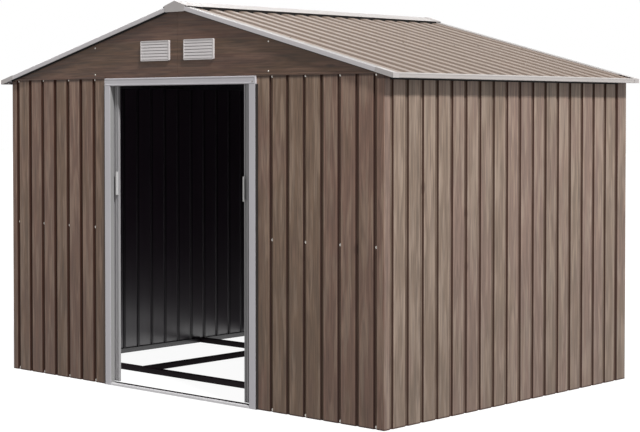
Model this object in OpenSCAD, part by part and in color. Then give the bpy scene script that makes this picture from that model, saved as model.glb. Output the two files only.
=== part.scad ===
// Metal garden shed with two sliding doors, an apex roof and an open floor frame.
// Millimetres, Z up. The origin is on the ground, under the centre of the roof plan.
// X runs along the front, Y runs from the front (-Y) to the back (+Y).

/* [Walls] */
// Outside width over the two side walls
wall_w = 2625; // [2000:5:3200]
// Outside depth from the front wall to the back wall
wall_d = 1932; // [1400:2:2600]
// Height of the wall sheets
wall_h = 1551; // [1300:1:1900]
// Thickness of every wall, gable and roof sheet
sheet = 1.2; // [0.6:0.1:2]
// Spacing of the grooves pressed into the walls
pan_pitch = 105; // [80:1:130]
// Width of a groove at the wall face
groove_w = 20; // [14:1:26]
// Depth of a groove
groove_d = 8; // [5:0.5:10]
// Distance from the front corner to the first groove of a side wall
side_start = 49; // [35:1:80]
// Outside radius of the folded wall corners
corner_r = 6; // [3:0.5:12]
// Height of the rails fixed across the inside of the front walls
mid_rail_z = 795; // [500:5:1000]

/* [Roof] */
// Pitch of both roof slopes, in degrees
slope = 14.5; // [10:0.1:22]
// How far the eaves stand out past the side walls
eave_over = 67.5; // [40:0.5:100]
// How far the roof stands out past the front wall
front_over = 23; // [15:1:40]
// How far the roof stands out past the back wall
back_over = 12; // [12:1:40]
// Clearance of the roof sheets over the top of the side walls
roof_clear = 1.5; // [0.5:0.5:10]
// Spacing of the roof ribs
rib_pitch = 101.5; // [85:0.5:120]
// Height of a roof rib
rib_h = 10; // [7:0.5:12]
// Width of a rib at its foot
rib_foot = 66; // [50:1:74]
// Width of a rib at its crest
rib_crest = 44; // [24:1:48]
// Distance from the front wall face to the middle of the first rib
rib_start = 67; // [58:1:90]
// Depth of the rib crests below the top of the trims
rib_sink = 5; // [2:0.5:6]
// Height of the trims along the roof edges
trim_h = 22; // [21:1:40]
// Half the width of the ridge cap
ridge_half = 84; // [70:1:110]
// Height of the ridge cap above the meeting line of the slopes
ridge_lift = 9.5; // [8:0.5:20]

/* [Doorway] */
// Clear width between the door posts
opening_w = 985; // [800:5:1300]
// Height of the header trim over the doorway
header_h = 38; // [30:1:60]
// Width of the post and header trims seen from the front
post_w = 45; // [35:1:60]
// How far the door trims stand proud of the wall
trim_proud = 10; // [6:0.5:15]
// Height of the door sill
sill_h = 13; // [12:0.5:24]

/* [Doors] */
// How far each shut door still reaches behind its post
door_lap = 51; // [30:1:80]
// Thickness of each door
door_t = 13; // [13:0.5:22]
// Distance of the door face behind the wall face
door_set = 21; // [20:0.5:40]
// How much of the open left door shows past its post
left_show = 26.5; // [15.5:0.5:80]
// How much of the open right door shows past its post
right_show = 59; // [15.5:0.5:80]
// Gap between the two doors when they are shut
meet_gap = 7; // [6:0.5:20]
// Height of the middle of the door handles
handle_z = 1023; // [700:1:1200]
// Length of each handle
handle_l = 118; // [90:1:160]
// How far each handle stands out from its door
handle_d = 11; // [10:0.5:14]

/* [Vents] */
// Width of a gable vent
vent_w = 207; // [150:1:240]
// Height of a gable vent
vent_h = 99; // [70:1:110]
// Distance from the middle of the gable to the middle of a vent
vent_x = 155.5; // [125:0.5:300]
// Height of the middle of the vents above the walls
vent_up = 132; // [75:1:150]

/* [Floor frame] */
// Height of the floor rails along the walls
rail_h = 26; // [20:1:45]
// Depth of the floor rails along the side and back walls
rail_d = 8; // [6:0.5:40]
// Height of the joists and bearers
joist_h = 30; // [18:1:40]
// Width of the joists and bearers
joist_w = 28; // [20:1:45]
// Distance from the front wall face to the front joist
joist_front = 368; // [250:1:500]
// Distance from the front wall face to the back joist
joist_back = 1367; // [900:1:1550]
// Distance from a side wall face to its bearer
bearer_in = 602; // [400:1:700]

/* [Hidden] */
eps = 0.01;
// Gap that keeps seated sheets from crossing where coordinates are rounded
seat = 0.02;
arc = 48;
// Thickness of the framing, of the roof trims and of the end and corner caps
frame_t = 1.5;
trim_t = 1.2;
cap_t = 1.5;
// Clearance between whatever slides and whatever stands still
run_gap = 5.5;

// Overall box of the roof
roof_w = wall_w + 2 * eave_over;
roof_d = wall_d + front_over + back_over;
roof_front = -roof_d / 2;
roof_back = roof_d / 2;
wall_front = roof_front + front_over;
wall_back = roof_back - back_over;
wall_half = wall_w / 2;
roof_half = roof_w / 2;

// Pressed profile shared by every wall
groove_side = 4;
wall_in = groove_d + sheet;
inner_half = wall_half - wall_in;

// Grooves of the front walls, which run to the doorway trim, and of the other walls
front_reach = (wall_w - opening_w) / 2 - post_w;
wall_lap = 24;
front_count = floor((front_reach - groove_w / 2) / pan_pitch + 0.5);
side_count = floor((wall_d - side_start - groove_w) / pan_pitch) + 1;
back_count = floor((wall_w - groove_w) / pan_pitch - 0.5) + 1;
front_middles = [for (i = [0 : front_count - 1]) (i + 0.5) * pan_pitch];
back_middles = [for (i = [0 : back_count - 1]) (i + 0.5) * pan_pitch];
side_middles = [for (i = [0 : side_count - 1]) side_start + i * pan_pitch];

// Where the corner sheets take over from the walls
corner_x = pan_pitch / 2 - groove_w / 2;
side_front = side_start - groove_w / 2;
side_last = side_middles[side_count - 1] + groove_w / 2;
back_last = back_middles[back_count - 1] + groove_w / 2;

// Doorway
header_above = 1;
header_top = wall_h + header_above;
opening_h = header_top - header_h;
post_back = door_set - run_gap - frame_t;

// Doors
door_over = 4;
door_w = opening_w / 2 - meet_gap / 2 + door_lap;
door_z0 = sill_h + run_gap;
door_z1 = opening_h + door_over;
door_y = wall_front + door_set;
door_rail = 36;
rail_gap = 0.5;
rail_set = groove_d + sheet + rail_gap;
stile_w = 58;
stile_edge = 8;
stile_rib = 8;
flute_w = 8;
flute_d = 4;

// Moulded handles, hollowed from the side that faces away from the doorway
handle_w = 9.5;
handle_end = 14;
handle_front = 5.5;
handle_wall = 2.5;
handle_r = 2;
handle_inset = 0.5;

// Track over the doorway, the hangers that run in it, and the guides at the foot
track_over = 10;
track_behind = 17;
track_z1 = wall_h;
track_lip_z = opening_h + track_over;
track_back = door_set + door_t + track_behind;
slot_half = 7.5;
hanger_mid = door_y + (rail_set + door_t) / 2;
hanger_t = 3;
hanger_l = 50;
hanger_tail = 60;
hanger_lead = 110;
slider_h = 12;
slider_wing = 4;
slider_gap = 1.8;
guide_l = 80;
guide_t = 3;
guide_drop = 10;
channel_behind = 7;
channel_back = door_set + door_t + channel_behind;
channel_h = sill_h - 2;

// Rails inside the front walls, and channels along the top of the other walls
rail_slack = 1;
mid_rail_h = 34;
mid_rail_d = door_set - wall_in - run_gap - rail_slack;
top_web = 40;
top_flange = 30;

// Gables and their louvred vents
gable_proud = 2;
gable_in = sheet - gable_proud;
gable_seam = 0.8;
gable_foot = 18;
vent_z = wall_h + vent_up;
vent_rim = 12;
vent_proud = 10;
blade_count = 6;
blade_w = 15;
blade_t = 1.5;
blade_tilt = 65;

// Roof slopes, measured from the outer top edge of the roof
rise = tan(slope);
slope_l = roof_half / cos(slope);
sheet_depth = trim_t + rib_sink + rib_h + sheet;
sheet_drop = sheet_depth / cos(slope);
eave_z = wall_h + roof_clear + sheet_drop - eave_over * rise;
rib_count = floor((wall_d - rib_start - rib_foot / 2) / rib_pitch) + 1;
ridge_clear = 20;
beam_w = 40;
beam_h = 50;
purlin_w = 30;
purlin_h = 30;

// Trims along the roof edges, and the caps on its corners
eave_fold = 10;
eave_foot = 14;
rake_foot = 3;
rake_flange = 40;
rake_tuck = 10;
cap_rake = 100;
cap_eave = 36;
cap_lap = 4;

// Ridge cap and the caps that close its ends
ridge_gap = 4;
ridge_z = eave_z + roof_half * rise;
ridge_top = ridge_z + ridge_lift;
ridge_edge = ridge_z - ridge_half * rise + ridge_gap;
ridge_hood = 45;
end_half = 72;
end_drop = 54;
end_cut = 6;

wood = [0.45, 0.38, 0.33];
dark_wood = [0.33, 0.27, 0.24];
tan_paint = [0.70, 0.63, 0.57];
light_trim = [0.72, 0.71, 0.70];
dark_steel = [0.20, 0.19, 0.20];
zinc = [0.45, 0.45, 0.47];
plastic = [0.78, 0.77, 0.76];

// ---- shared shapes ----

// Mirrors its children to both sides of the centre line
module both_sides() {
    for (m = [0, 1]) mirror([m, 0, 0]) children();
}

// Extrudes an outline drawn in Y and Z along X
module along_x(x0, x1) {
    translate([x0, 0, 0]) rotate([90, 0, 90]) linear_extrude(x1 - x0) children();
}

// Extrudes an outline drawn in X and Z along Y
module along_y(y0, y1) {
    translate([0, y1, 0]) rotate([90, 0, 0]) linear_extrude(y1 - y0) children();
}

// Corner points of one pressed groove, with its middle at c
function groove(c) = [
    [c - groove_w / 2, 0],
    [c - groove_w / 2 + groove_side, groove_d],
    [c + groove_w / 2 - groove_side, groove_d],
    [c + groove_w / 2, 0]
];

// Outline of a pressed sheet from a to b, grooves at the given middles
module sheet_outline(a, b, middles) {
    line = concat(a < middles[0] - groove_w / 2 ? [[a, 0]] : [],
        [for (c = middles) each groove(c)],
        b > middles[len(middles) - 1] + groove_w / 2 ? [[b, 0]] : []);
    back = [for (i = [len(line) - 1 : -1 : 0]) line[i] + [0, sheet]];
    polygon(concat(line, back));
}

// A pressed wall along X, its outer face on Y = 0 and its depth towards +Y
module wall_sheet(a, b, middles) {
    linear_extrude(wall_h) sheet_outline(a, b, middles);
}

// A folded corner sheet: leg_x along X and leg_y along Y from a sharp corner at 0,0
module corner_sheet(leg_x, leg_y) {
    linear_extrude(wall_h) difference() {
        union() {
            translate([corner_r, 0]) square([leg_x - corner_r, sheet]);
            translate([0, corner_r]) square([sheet, leg_y - corner_r]);
            intersection() {
                translate([corner_r, corner_r]) circle(corner_r, $fn = arc);
                square(corner_r);
            }
        }
        translate([corner_r, corner_r]) circle(corner_r - sheet, $fn = arc);
    }
}

// Outline of a C section, open to the right, w wide and h high
module c_outline(w, h, t) {
    difference() {
        square([w, h]);
        translate([t, t]) square([w, h - 2 * t]);
    }
}

// A closed square tube lying along X
module tube_x(x0, x1, w, h) {
    along_x(x0, x1) difference() {
        square([w, h]);
        translate([frame_t, frame_t]) square([w - 2 * frame_t, h - 2 * frame_t]);
    }
}

// Puts children on the right-hand slope: X runs from the eave (0) up to minus slope_l,
// Z is square to the slope and 0 on the outer top surface
module on_slope() {
    translate([roof_half, 0, eave_z]) rotate([0, slope, 0]) children();
}

// ---- floor frame ----

module floor_rail_front() {
    color(dark_steel) along_x(-inner_half, inner_half)
        translate([wall_front + wall_in, 0]) difference() {
            square([channel_back - wall_in, channel_h]);
            translate([frame_t, frame_t])
                square([channel_back - wall_in - 2 * frame_t, channel_h]);
        }
}

module floor_rail_back() {
    color(zinc) along_x(-inner_half + rail_d, inner_half - rail_d)
        translate([wall_back - wall_in - rail_d, 0]) c_outline(rail_d, rail_h, frame_t);
}

module side_rail() {
    color(zinc) along_y(wall_front + channel_back, wall_back - wall_in)
        translate([inner_half - rail_d, 0]) c_outline(rail_d, rail_h, frame_t);
}

module floor_rail_left() { mirror([1, 0, 0]) side_rail(); }

module floor_rail_right() { side_rail(); }

module floor_joists() {
    color(dark_steel) for (y = [joist_front, joist_back])
        translate([0, wall_front + y, 0])
            tube_x(-inner_half + rail_d, inner_half - rail_d, joist_w, joist_h);
}

module floor_bearers() {
    front_end = wall_front + joist_front + joist_w;
    back_joist = wall_front + joist_back;
    color(dark_steel) both_sides() for (span = [[front_end, back_joist],
            [back_joist + joist_w, wall_back - wall_in - rail_d]])
        translate([wall_half - bearer_in, 0, 0]) rotate([0, 0, 90])
            tube_x(span[0], span[1], joist_w, joist_h);
}

// ---- walls ----

module corner_front() {
    color(wood) translate([-wall_half, wall_front, 0]) corner_sheet(corner_x, side_front);
}

module corner_front_left() { corner_front(); }

module corner_front_right() { mirror([1, 0, 0]) corner_front(); }

// The back corners close what the grooves of the back and side walls leave
module corner_back(leg) {
    color(wood) translate([-wall_half, wall_back, 0]) mirror([0, 1, 0])
        corner_sheet(leg, wall_d - side_last);
}

module corner_back_left() { corner_back(corner_x); }

module corner_back_right() { mirror([1, 0, 0]) corner_back(wall_w - back_last); }

module front_wall() {
    color(wood) translate([-wall_half, wall_front, 0])
        wall_sheet(corner_x, front_reach + wall_lap, front_middles);
}

module front_wall_left() { front_wall(); }

module front_wall_right() { mirror([1, 0, 0]) front_wall(); }

module side_wall() {
    color(wood) translate([wall_half, wall_front, 0]) rotate([0, 0, 90])
        wall_sheet(side_front, side_last, side_middles);
}

module left_wall() { mirror([1, 0, 0]) side_wall(); }

module right_wall() { side_wall(); }

module back_wall() {
    color(wood) translate([-wall_half, wall_back, 0]) mirror([0, 1, 0])
        wall_sheet(corner_x, back_last, back_middles);
}

// ---- inner framing at mid height and at the top of the walls ----

module front_mid_rails() {
    color(zinc) both_sides()
        along_x(opening_w / 2 + post_w - wall_lap, inner_half)
            translate([wall_front + wall_in, mid_rail_z - mid_rail_h / 2])
                c_outline(mid_rail_d, mid_rail_h, frame_t);
}

// Height of the underside of the roof sheet at a distance x from the centre line
function under_z(x) = eave_z + (roof_half - x) * rise - sheet_drop - seat;

module top_channel() {
    outer = inner_half;
    inner = inner_half - top_flange;
    color(zinc) along_y(wall_front + track_back, wall_back - wall_in)
        polygon([[outer, under_z(outer) - top_web], [outer, under_z(outer)],
            [inner, under_z(inner)], [inner, under_z(inner) - frame_t],
            [outer - frame_t, under_z(outer - frame_t) - frame_t],
            [outer - frame_t, under_z(outer) - top_web]]);
}

module top_channel_left() { mirror([1, 0, 0]) top_channel(); }

module top_channel_right() { top_channel(); }

module top_channel_back() {
    color(zinc) along_x(-inner_half + top_flange, inner_half - top_flange)
        translate([wall_back - wall_in, wall_h - top_web]) mirror([1, 0]) {
            square([frame_t, top_web]);
            translate([0, top_web - frame_t]) square([top_flange, frame_t]);
        }
}

// ---- gables ----

// One half of a gable, with its vent opening and its folded foot
module gable_half() {
    along_y(0, sheet) difference() {
        polygon([[gable_seam / 2, wall_h], [wall_half, wall_h],
            [wall_half, under_z(wall_half)], [gable_seam / 2, under_z(gable_seam / 2)]]);
        translate([vent_x - vent_w / 2 + vent_rim, vent_z - vent_h / 2 + vent_rim])
            square([vent_w - 2 * vent_rim, vent_h - 2 * vent_rim]);
    }
    translate([gable_seam / 2, sheet, wall_h])
        cube([inner_half - top_flange - gable_seam, gable_foot, sheet]);
}

module gable() {
    color(dark_wood) both_sides() gable_half();
}

module front_gable() { translate([0, wall_front - gable_proud, 0]) gable(); }

module back_gable() { translate([0, wall_back + gable_proud, 0]) mirror([0, 1, 0]) gable(); }

// A louvred vent on the gable, its outer face towards -Y
module vent() {
    inner_w = vent_w - 2 * vent_rim;
    inner_h = vent_h - 2 * vent_rim;
    step = inner_h / blade_count;
    translate([vent_x - vent_w / 2, 0, vent_z - vent_h / 2]) {
        difference() {
            translate([0, -vent_proud, 0]) cube([vent_w, vent_proud, vent_h]);
            translate([vent_rim, -vent_proud - eps, vent_rim])
                cube([inner_w, vent_proud + 2 * eps, inner_h]);
        }
        for (i = [0 : blade_count - 1])
            translate([vent_rim - eps, -vent_proud / 2, vent_rim + (i + 0.5) * step])
                rotate([blade_tilt, 0, 0])
                    translate([0, -blade_w / 2, -blade_t / 2])
                        cube([inner_w + 2 * eps, blade_w, blade_t]);
    }
}

module front_vents() {
    color(plastic) translate([0, wall_front - gable_proud, 0]) both_sides() vent();
}

module back_vents() {
    color(plastic) translate([0, wall_back + gable_proud, 0]) mirror([0, 1, 0])
        both_sides() vent();
}

// ---- doorway ----

// The foot of each post is notched over the front floor rail
module door_post() {
    color(light_trim) translate([opening_w / 2, wall_front, 0]) difference() {
        linear_extrude(opening_h) {
            translate([0, -trim_proud]) square([post_w, frame_t]);
            translate([0, -trim_proud]) square([frame_t, trim_proud + post_back]);
            translate([post_w - frame_t, -trim_proud]) square([frame_t, trim_proud]);
        }
        translate([-eps, wall_in, -eps]) cube([frame_t + 2 * eps, post_back, channel_h + eps]);
    }
}

module door_post_left() { mirror([1, 0, 0]) door_post(); }

module door_post_right() { door_post(); }

module door_header() {
    half = opening_w / 2 + post_w;
    color(light_trim) along_x(-opening_w / 2, opening_w / 2)
        translate([wall_front, opening_h]) square([post_back, frame_t]);
    color(light_trim) along_x(-half, half) translate([wall_front, 0]) {
        translate([-trim_proud, opening_h]) square([frame_t, header_top - opening_h]);
        translate([-trim_proud, opening_h]) square([trim_proud, frame_t]);
        translate([-trim_proud, header_top - frame_t])
            square([trim_proud - gable_proud, frame_t]);
    }
}

module door_sill() {
    color(light_trim) along_x(-opening_w / 2, opening_w / 2)
        translate([wall_front - trim_proud, 0]) difference() {
            square([trim_proud + wall_in, sill_h]);
            translate([frame_t, -eps])
                square([trim_proud + wall_in - 2 * frame_t, sill_h - frame_t + eps]);
        }
}

module door_track() {
    lip_front = hanger_mid - slot_half;
    lip_back = hanger_mid + slot_half;
    y0 = wall_front + wall_in;
    y1 = wall_front + track_back;
    color(zinc) along_x(-inner_half, inner_half) {
        translate([y0, track_z1 - frame_t]) square([y1 - y0, frame_t]);
        translate([y0, track_lip_z]) square([frame_t, track_z1 - track_lip_z]);
        translate([y1 - frame_t, track_lip_z]) square([frame_t, track_z1 - track_lip_z]);
        translate([y0, track_lip_z]) square([lip_front - y0, frame_t]);
        translate([lip_back, track_lip_z]) square([y1 - lip_back, frame_t]);
    }
}

// ---- doors, drawn as a left door with its leading edge at X = 0 ----

module leading_stile() {
    translate([-stile_w, door_y, door_z0]) linear_extrude(door_z1 - door_z0)
        difference() {
            square([stile_w, door_t]);
            for (x = [stile_w - stile_edge - flute_w, stile_w - stile_edge - stile_rib - 2 * flute_w])
                translate([x, -eps]) square([flute_w, flute_d + eps]);
            translate([-eps, flute_d + frame_t])
                square([stile_w - frame_t, door_t - 2 * frame_t - flute_d]);
        }
}

module frame() {
    color(light_trim) {
        leading_stile();
        translate([-door_w, door_y, door_z0])
            cube([frame_t, door_t, door_z1 - door_z0]);
        for (z = [door_z0, door_z1 - door_rail])
            translate([0, door_y + rail_set, z]) along_x(-door_w, -stile_w)
                c_outline(door_t - rail_set, door_rail, frame_t);
        translate([-(door_w + guide_l) / 2, hanger_mid - guide_t / 2, door_z0 - guide_drop])
            cube([guide_l, guide_t, guide_drop + frame_t]);
    }
}

module panel() {
    span = door_w - stile_w;
    n = floor((span - groove_w) / pan_pitch);
    start = (span - (n - 1) * pan_pitch) / 2;
    color(wood) translate([-door_w + frame_t, door_y, door_z0])
        linear_extrude(door_z1 - door_z0)
            sheet_outline(0, span - frame_t, [for (i = [0 : n - 1]) start + i * pan_pitch]);
}

module handle() {
    color(plastic)
        translate([-handle_inset - handle_w, door_y - handle_d, handle_z - handle_l / 2])
            difference() {
                along_x(0, handle_w) union() {
                    translate([0, handle_r]) square([handle_d, handle_l - 2 * handle_r]);
                    translate([handle_r, 0]) square([handle_d - handle_r, handle_l]);
                    for (z = [handle_r, handle_l - handle_r])
                        translate([handle_r, z]) circle(handle_r, $fn = arc);
                }
                translate([-eps, handle_front, handle_end])
                    cube([handle_w - handle_wall + eps, handle_d, handle_l - 2 * handle_end]);
            }
}

module hangers() {
    top = track_z1 - frame_t - run_gap;
    slider_z = track_lip_z + frame_t + slider_gap;
    slider_half = slot_half + slider_wing;
    color(plastic) for (x = [-door_w + hanger_tail, -hanger_lead])
        translate([x, 0, 0]) {
            translate([0, hanger_mid - hanger_t / 2, door_z1])
                cube([hanger_l, hanger_t, slider_z - door_z1 + eps]);
            translate([0, hanger_mid - slider_half, slider_z])
                cube([hanger_l, 2 * slider_half, min(slider_h, top - slider_z)]);
        }
}

// Put a door's pieces in their open places on the left and on the right
module on_left() {
    translate([left_show - opening_w / 2, 0, 0]) children();
}

module on_right() {
    translate([opening_w / 2 - right_show, 0, 0]) mirror([1, 0, 0]) children();
}

module left_door_panel() { on_left() panel(); }

module left_door_frame() { on_left() frame(); }

module left_door_handle() { on_left() handle(); }

module left_door_hangers() { on_left() hangers(); }

module right_door_panel() { on_right() panel(); }

module right_door_frame() { on_right() frame(); }

module right_door_handle() { on_right() handle(); }

module right_door_hangers() { on_right() hangers(); }

// ---- roof ----

module ridge_beam() {
    top = under_z(beam_w / 2);
    color(zinc) along_y(wall_front + gable_in, wall_back - gable_in)
        translate([-beam_w / 2, top - beam_h]) difference() {
            square([beam_w, beam_h]);
            translate([frame_t, frame_t])
                square([beam_w - 2 * frame_t, beam_h - 2 * frame_t]);
        }
}

module purlins() {
    color(zinc) both_sides() on_slope()
        along_y(wall_front + gable_in, wall_back - gable_in)
            translate([-slope_l / 2 - purlin_w / 2, -sheet_depth - purlin_h])
                difference() {
                    square([purlin_w, purlin_h]);
                    translate([frame_t, frame_t])
                        square([purlin_w - 2 * frame_t, purlin_h - 2 * frame_t]);
                }
}

// Outline of the ribbed roof sheet, along Y and square to the slope
module roof_outline() {
    low = -sheet_depth;
    y0 = roof_front + cap_t + trim_t;
    y1 = roof_back - cap_t - trim_t;
    ribs = [for (i = [0 : rib_count - 1]) wall_front + rib_start + i * rib_pitch];
    top = concat([[y0, low]],
        [for (c = ribs) each [[c - rib_foot / 2, low], [c - rib_crest / 2, low + rib_h],
            [c + rib_crest / 2, low + rib_h], [c + rib_foot / 2, low]]],
        [[y1, low]]);
    lifted = [for (i = [len(top) - 1 : -1 : 0]) top[i] + [0, sheet]];
    polygon(concat(top, lifted));
}

module roof_sheet() {
    color(tan_paint) on_slope()
        along_x(-slope_l + ridge_clear, -cap_t - trim_t) roof_outline();
}

module roof_sheet_right() { roof_sheet(); }

module roof_sheet_left() { mirror([1, 0, 0]) roof_sheet(); }

// Outline of a roof edge trim: an upright face at x = 0 with a top and a bottom fold
module edge_outline(face, top, bottom, t) {
    square([t, face]);
    square([bottom, t]);
    translate([0, face - t]) square([top, t]);
}

module eave_trim() {
    color(light_trim) along_y(roof_front + cap_eave, roof_back - cap_eave) {
        translate([roof_half - cap_t - trim_t, eave_z - trim_h])
            square([trim_t, trim_h]);
        translate([roof_half - cap_t - eave_foot, eave_z - trim_h])
            square([eave_foot, trim_t]);
        translate([roof_half, eave_z]) rotate(-slope)
            translate([-cap_t - eave_fold, -trim_t]) square([eave_fold, trim_t]);
    }
}

module eave_trim_right() { eave_trim(); }

module eave_trim_left() { mirror([1, 0, 0]) eave_trim(); }

// A rake trim on the right-hand slope at the front edge
module rake_trim() {
    on_slope() along_x(-slope_l + (end_half - rake_tuck) / cos(slope), -cap_rake)
        translate([roof_front + cap_t, -trim_h])
            edge_outline(trim_h, rake_flange, rake_foot, trim_t);
}

module rake_trims() {
    color(light_trim) both_sides() rake_trim();
}

module front_rake_trims() { rake_trims(); }

module back_rake_trims() { mirror([0, 1, 0]) rake_trims(); }

// A corner cap: a face along the rake, a face along the eave and a top plate
module roof_corner() {
    on_slope() translate([0, roof_front, 0]) {
        translate([-cap_rake - cap_lap, 0, -trim_h]) cube([cap_rake + cap_lap, cap_t, trim_h]);
        translate([-cap_rake, 0, -trim_h]) cube([cap_rake, cap_t + trim_t, trim_h]);
        translate([-cap_rake, 0, -trim_t]) cube([cap_rake, cap_eave, trim_t]);
    }
    translate([roof_half - cap_t, roof_front, eave_z - trim_h])
        cube([cap_t, cap_eave + cap_lap, trim_h]);
    translate([roof_half - cap_t - trim_t, roof_front, eave_z - trim_h])
        cube([cap_t + trim_t, cap_eave, trim_h]);
}

module roof_corners() {
    color(light_trim) for (m = [0, 1]) mirror([0, m, 0]) both_sides() roof_corner();
}

module ridge_cap() {
    color(light_trim) along_y(roof_front + cap_t, roof_back - cap_t)
        polygon([[-ridge_half, ridge_edge], [0, ridge_top - trim_t], [ridge_half, ridge_edge],
            [ridge_half, ridge_edge + trim_t], [0, ridge_top], [-ridge_half, ridge_edge + trim_t]]);
}

// The end cap closes the ridge at one gable: a face plate and a hood over the ridge cap
module ridge_end_cap() {
    fall = (ridge_top - trim_t - ridge_edge) / ridge_half;
    apex = ridge_top + cap_t + seat;
    shoulder = apex - end_half * fall;
    along_y(roof_front, roof_front + cap_t)
        polygon([[-end_half + end_cut, apex - end_drop], [end_half - end_cut, apex - end_drop],
            [end_half, shoulder - end_cut], [end_half, shoulder], [0, apex],
            [-end_half, shoulder], [-end_half, shoulder - end_cut]]);
    along_y(roof_front, roof_front + ridge_hood)
        polygon([[-end_half, shoulder - cap_t], [0, apex - cap_t], [end_half, shoulder - cap_t],
            [end_half, shoulder], [0, apex], [-end_half, shoulder]]);
}

module ridge_end_caps() {
    color(light_trim) for (m = [0, 1]) mirror([0, m, 0]) ridge_end_cap();
}

floor_rail_front();
floor_rail_back();
floor_rail_left();
floor_rail_right();
floor_joists();
floor_bearers();
corner_front_left();
corner_front_right();
corner_back_left();
corner_back_right();
front_wall_left();
front_wall_right();
left_wall();
right_wall();
back_wall();
front_mid_rails();
top_channel_left();
top_channel_right();
top_channel_back();
front_gable();
back_gable();
front_vents();
back_vents();
door_post_left();
door_post_right();
door_header();
door_sill();
door_track();
left_door_panel();
left_door_frame();
left_door_handle();
left_door_hangers();
right_door_panel();
right_door_frame();
right_door_handle();
right_door_hangers();
ridge_beam();
purlins();
roof_sheet_left();
roof_sheet_right();
eave_trim_left();
eave_trim_right();
front_rake_trims();
back_rake_trims();
roof_corners();
ridge_cap();
ridge_end_caps();
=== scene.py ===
import math
import random

import bmesh
import bpy
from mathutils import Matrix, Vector


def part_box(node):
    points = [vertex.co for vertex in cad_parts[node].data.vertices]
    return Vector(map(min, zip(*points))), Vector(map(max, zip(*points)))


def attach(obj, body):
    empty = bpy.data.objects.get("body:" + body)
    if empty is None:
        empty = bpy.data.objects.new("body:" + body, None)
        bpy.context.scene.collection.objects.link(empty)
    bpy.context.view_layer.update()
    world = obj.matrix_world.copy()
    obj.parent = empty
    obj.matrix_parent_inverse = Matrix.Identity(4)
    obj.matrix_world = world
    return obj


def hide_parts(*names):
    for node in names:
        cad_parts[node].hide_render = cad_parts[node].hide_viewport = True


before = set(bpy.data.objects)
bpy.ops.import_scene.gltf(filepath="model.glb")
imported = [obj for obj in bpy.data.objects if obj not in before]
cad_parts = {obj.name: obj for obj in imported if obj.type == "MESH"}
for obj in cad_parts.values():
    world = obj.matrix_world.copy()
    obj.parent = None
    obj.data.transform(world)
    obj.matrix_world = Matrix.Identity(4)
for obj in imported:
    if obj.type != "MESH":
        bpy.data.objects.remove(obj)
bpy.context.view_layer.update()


# Floor frame. Thin channels of pressed steel lie along the four walls, and black
# painted tubes cross between them. They are bolted together, and nothing covers them.

class Signal:
    """A value that varies over a surface, and adds and multiplies as a number does."""

    def __init__(self, board, socket):
        self.board = board
        self.socket = socket

    def other(self, name):
        """Another output of the node that this value comes from."""
        return Signal(self.board, self.socket.node.outputs[name])

    def maths(self, operation, *terms):
        """A Math node of one operation on values."""
        return self.board.node("Math", {"operation": operation}, dict(enumerate(terms)))

    def __add__(self, term):
        return self.maths("ADD", self, term)

    def __sub__(self, term):
        return self.maths("SUBTRACT", self, term)

    def __rsub__(self, term):
        return self.maths("SUBTRACT", term, self)

    def __mul__(self, term):
        return self.maths("MULTIPLY", self, term)

    def __truediv__(self, term):
        return self.maths("DIVIDE", self, term)

    def __pow__(self, term):
        return self.maths("POWER", self, term)

    def __floordiv__(self, term):
        return self.maths("FLOOR", self / term)

    def __mod__(self, term):
        return self.maths("FLOORED_MODULO", self, term)

    def __abs__(self):
        return self.maths("ABSOLUTE", self)

    __radd__ = __add__
    __rmul__ = __mul__


class Board:
    """The node board of a material or of the room, cleared for new nodes."""

    def __init__(self, owner):
        owner.use_nodes = True
        self.nodes = owner.node_tree.nodes
        self.links = owner.node_tree.links
        self.nodes.clear()

    def node(self, kind, settings=None, sockets=None):
        """Adds one node of a kind: first its settings, then what goes into its sockets."""
        made = self.nodes.new("ShaderNode" + kind)
        for key, value in (settings or {}).items():
            setattr(made, key, value)
        self.feed(made, sockets or {})
        free = [out for out in made.outputs if out.enabled]
        return Signal(self, free[0]) if free else None

    def feed(self, made, sockets):
        """Sets or links a node's sockets, each named or counted."""
        open_sockets = [socket for socket in made.inputs if socket.enabled]
        for key, value in sockets.items():
            named = [s for s in open_sockets if s.name == key]
            socket = named[0] if named else open_sockets[key]
            if isinstance(value, Signal):
                self.links.new(value.socket, socket)
            elif socket.type == "RGBA":
                socket.default_value = (*value, 1.0)
            else:
                socket.default_value = value


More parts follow.
